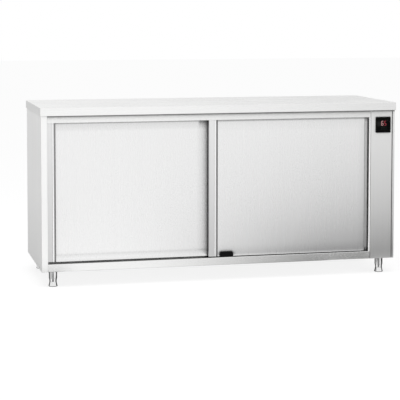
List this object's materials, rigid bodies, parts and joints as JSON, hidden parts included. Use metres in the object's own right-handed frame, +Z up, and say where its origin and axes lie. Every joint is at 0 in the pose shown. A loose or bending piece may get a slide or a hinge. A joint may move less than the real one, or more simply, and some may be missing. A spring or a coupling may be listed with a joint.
{
  "type": "plate warmer cabinet",
  "caption": "Low stainless hot cupboard with overlapping top-hung sliding doors, a control column at the right and adjustable feet, for keeping plates warm under a worktop.",
  "frame": {"origin": "on the floor under the middle of the worktop", "axes": "+X to the right along the front, +Y to the back (the doors face -Y), +Z up"},
  "size_m": [1.8, 0.6, 0.87],
  "materials": {
    "outer_steel": "fine brushed stainless sheet, grain along the length",
    "door_steel": "fine brushed stainless sheet, upright grain",
    "inner_steel": "mill-finish stainless sheet",
    "leg_steel": "turned and polished stainless tube",
    "mineral_wool": "soft mineral wool batt",
    "core_board": "moisture-proof chipboard",
    "track_aluminium": "drawn, plain",
    "buffer_rubber": "moulded, matte",
    "black_nylon": "moulded, satin",
    "controller_glass": "polished black window",
    "black_plastic": "moulded, fine texture",
    "motor_paint": "black enamel",
    "zinc_steel": "zinc plated",
    "fan_aluminium": "pressed sheet",
    "heater_tube": "heat-tinted steel tube",
    "cream_ceramic": "matte moulding",
    "roller_nylon": "turned white nylon"
  },
  "bodies": {
    "cabinet": {"worktop": "outer_steel", "side_panel_left": "outer_steel", "side_panel_right": "outer_steel", "top_rail": "outer_steel", "sill": "outer_steel", "right_jamb": "outer_steel", "control_fascia": "outer_steel", "track_carrier": "outer_steel", "back_panel": "outer_steel", "base_panel": "outer_steel", "service_cover": "outer_steel", "liner_left": "inner_steel", "back_liner": "inner_steel", "floor_liner": "inner_steel", "ceiling_liner": "inner_steel", "partition": "inner_steel", "shelf": "inner_steel", "shelf_end_rails": "inner_steel", "shelf_back_rail": "inner_steel", "centre_post": "inner_steel", "fan_cowl": "inner_steel", "insulation_left": "mineral_wool", "insulation_back": "mineral_wool", "insulation_floor": "mineral_wool", "insulation_ceiling": "mineral_wool", "worktop_core": "core_board", "door_track": "track_aluminium", "track_stops": "buffer_rubber", "bottom_guide": "black_nylon", "controller_glass": "controller_glass", "controller_housing": "black_plastic", "fan_motor": "motor_paint", "motor_mount": "zinc_steel", "ring_heater": "heater_tube", "temperature_probe": "inner_steel", "limit_thermostat": "cream_ceramic", "terminal_block": "cream_ceramic", "cable_gland": "black_nylon", "cover_screws": "zinc_steel", "leg_socket_front_left": "leg_steel", "leg_socket_front_right": "leg_steel", "leg_socket_rear_left": "leg_steel", "leg_socket_rear_right": "leg_steel"},
    "fan": {"fan_impeller": "fan_aluminium"},
    "left_door": {"left_door_skin": "door_steel", "left_door_pan": "inner_steel", "left_door_core": "mineral_wool", "left_door_hangers": "zinc_steel"},
    "left_door_roller_left": {"left_door_roller_left": "roller_nylon"},
    "left_door_roller_right": {"left_door_roller_right": "roller_nylon"},
    "right_door": {"right_door_skin": "door_steel", "right_door_pan": "inner_steel", "right_door_core": "mineral_wool", "right_door_hangers": "zinc_steel"},
    "right_door_roller_left": {"right_door_roller_left": "roller_nylon"},
    "right_door_roller_right": {"right_door_roller_right": "roller_nylon"},
    "foot_front_left": {"foot_front_left": "leg_steel"},
    "foot_front_right": {"foot_front_right": "leg_steel"},
    "foot_rear_left": {"foot_rear_left": "leg_steel"},
    "foot_rear_right": {"foot_rear_right": "leg_steel"}
  },
  "joints": [
    {"name": "left_door_slide", "type": "slide", "parent": "cabinet", "child": "left_door", "axis": [1, 0, 0], "range_m": [0, 0.74]},
    {"name": "left_door_roller_left_spin", "type": "hinge", "parent": "left_door", "child": "left_door_roller_left", "pos_m": [-0.744, -0.233, 0.8158], "axis": [0, 1, 0], "range_deg": [0, 5000]},
    {"name": "left_door_roller_right_spin", "type": "hinge", "parent": "left_door", "child": "left_door_roller_right", "pos_m": [-0.1595, -0.233, 0.8158], "axis": [0, 1, 0], "range_deg": [0, 5000]},
    {"name": "right_door_slide", "type": "slide", "parent": "cabinet", "child": "right_door", "axis": [1, 0, 0], "range_m": [-0.74, 0]},
    {"name": "right_door_roller_left_spin", "type": "hinge", "parent": "right_door", "child": "right_door_roller_left", "pos_m": [0.0545, -0.263, 0.8158], "axis": [0, 1, 0], "range_deg": [-5000, 0]},
    {"name": "right_door_roller_right_spin", "type": "hinge", "parent": "right_door", "child": "right_door_roller_right", "pos_m": [0.639, -0.263, 0.8158], "axis": [0, 1, 0], "range_deg": [-5000, 0]},
    {"name": "fan_spin", "type": "hinge", "parent": "cabinet", "child": "fan", "pos_m": [0.7575, -0.005, 0.312], "axis": [1, 0, 0], "continuous": true},
    {"name": "foot_front_left_screw_out", "type": "slide", "parent": "cabinet", "child": "foot_front_left", "axis": [0, 0, -1], "range_m": [0, 0.025]},
    {"name": "foot_front_right_screw_out", "type": "slide", "parent": "cabinet", "child": "foot_front_right", "axis": [0, 0, -1], "range_m": [0, 0.025]},
    {"name": "foot_rear_left_screw_out", "type": "slide", "parent": "cabinet", "child": "foot_rear_left", "axis": [0, 0, -1], "range_m": [0, 0.025]},
    {"name": "foot_rear_right_screw_out", "type": "slide", "parent": "cabinet", "child": "foot_rear_right", "axis": [0, 0, -1], "range_m": [0, 0.025]}
  ],
  "couplings": [
    {"joint": "left_door_roller_left_spin", "follows": "left_door_slide", "rad_per_m": 117.65},
    {"joint": "left_door_roller_right_spin", "follows": "left_door_slide", "rad_per_m": 117.65},
    {"joint": "right_door_roller_left_spin", "follows": "right_door_slide", "rad_per_m": 117.65},
    {"joint": "right_door_roller_right_spin", "follows": "right_door_slide", "rad_per_m": 117.65}
  ]
}
